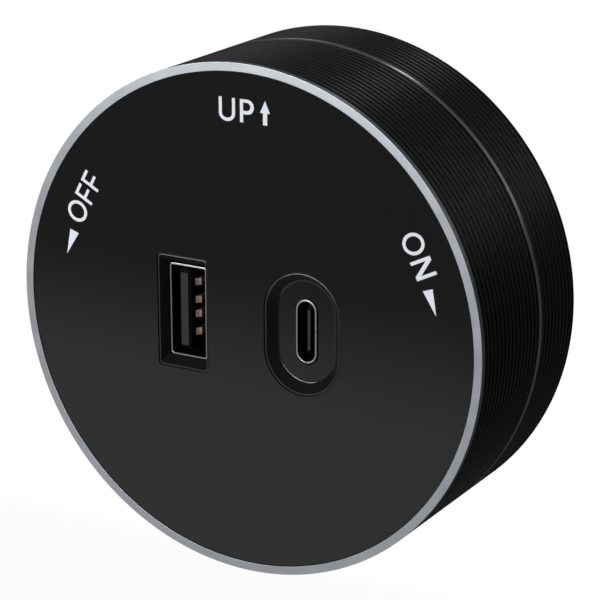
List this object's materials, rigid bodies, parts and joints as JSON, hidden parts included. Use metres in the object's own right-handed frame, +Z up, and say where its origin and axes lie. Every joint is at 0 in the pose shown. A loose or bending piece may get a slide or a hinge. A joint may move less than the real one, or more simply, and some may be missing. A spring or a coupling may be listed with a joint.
{
  "type": "power track usb adapter",
  "caption": "Round twist-lock adapter for a power track: ringed black body, aluminium rim, glossy face with USB-A and USB-C ports, and a rear contact head.",
  "frame": {"origin": "centre of the rear face, on the axis, where the body meets the track", "axes": "+Y along the axis into the track, so the glossy face looks along -Y; +Z up, where the printed mark UP is; +X to the right seen from the front"},
  "size_m": [0.07, 0.0413, 0.07],
  "materials": {
    "aluminium_rim": "satin",
    "gloss_black": "gloss",
    "satin_black": "satin",
    "inner_black": "matt",
    "spring_steel": "satin",
    "copper_alloy": "satin",
    "nickel_plate": "bright",
    "port_grey": "matt",
    "gold_plate": "bright",
    "board_green": "satin",
    "spacer_white": "matt",
    "ferrite": "matt",
    "winding_tape": "satin",
    "film_yellow": "satin",
    "can_aluminium": "satin",
    "fuse_case": "satin",
    "chip_black": "matt"
  },
  "bodies": {
    "base": {"base_shell": "satin_black", "seam_ring": "aluminium_rim", "detent_spring": "spring_steel"},
    "front": {"rim_ring": "aluminium_rim", "face_plate": "gloss_black", "front_shell": "satin_black", "carrier": "inner_black", "contact_head": "inner_black", "stem_clip": "spring_steel", "head_cover": "inner_black", "earth_contact": "copper_alloy", "live_spring": "spring_steel", "neutral_spring": "spring_steel", "live_terminal": "copper_alloy", "neutral_terminal": "copper_alloy", "live_lead": "copper_alloy", "neutral_lead": "copper_alloy", "earth_lead": "copper_alloy", "usb_a_shell": "nickel_plate", "usb_a_tongue": "port_grey", "usb_a_contacts": "gold_plate", "usb_c_shell": "nickel_plate", "usb_c_tongue": "port_grey", "usb_c_contacts": "gold_plate", "port_board": "board_green", "power_board": "board_green", "board_spacers": "spacer_white", "peg_clips": "spring_steel", "link_pins": "gold_plate", "transformer_core": "ferrite", "transformer_winding": "winding_tape", "input_capacitor": "film_yellow", "output_capacitor": "can_aluminium", "fuse": "fuse_case", "bridge_rectifier": "chip_black", "control_chip": "chip_black"},
    "live_shoe": {"live_contact": "copper_alloy"},
    "neutral_shoe": {"neutral_contact": "copper_alloy"}
  },
  "joints": [
    {"name": "twist_lock", "type": "hinge", "parent": "base", "child": "front", "pos_m": [0, 0, 0], "axis": [0, 1, 0], "range_deg": [0, 90], "deforming": ["detent_spring"]},
    {"name": "live_push", "type": "slide", "parent": "front", "child": "live_shoe", "axis": [-1, 0, 0], "range_m": [0, 0.0012], "stiffness_N_per_m": 400, "springref_m": -0.003, "deforming": ["live_spring"]},
    {"name": "neutral_push", "type": "slide", "parent": "front", "child": "neutral_shoe", "axis": [1, 0, 0], "range_m": [0, 0.0012], "stiffness_N_per_m": 400, "springref_m": -0.003, "deforming": ["neutral_spring"]}
  ]
}
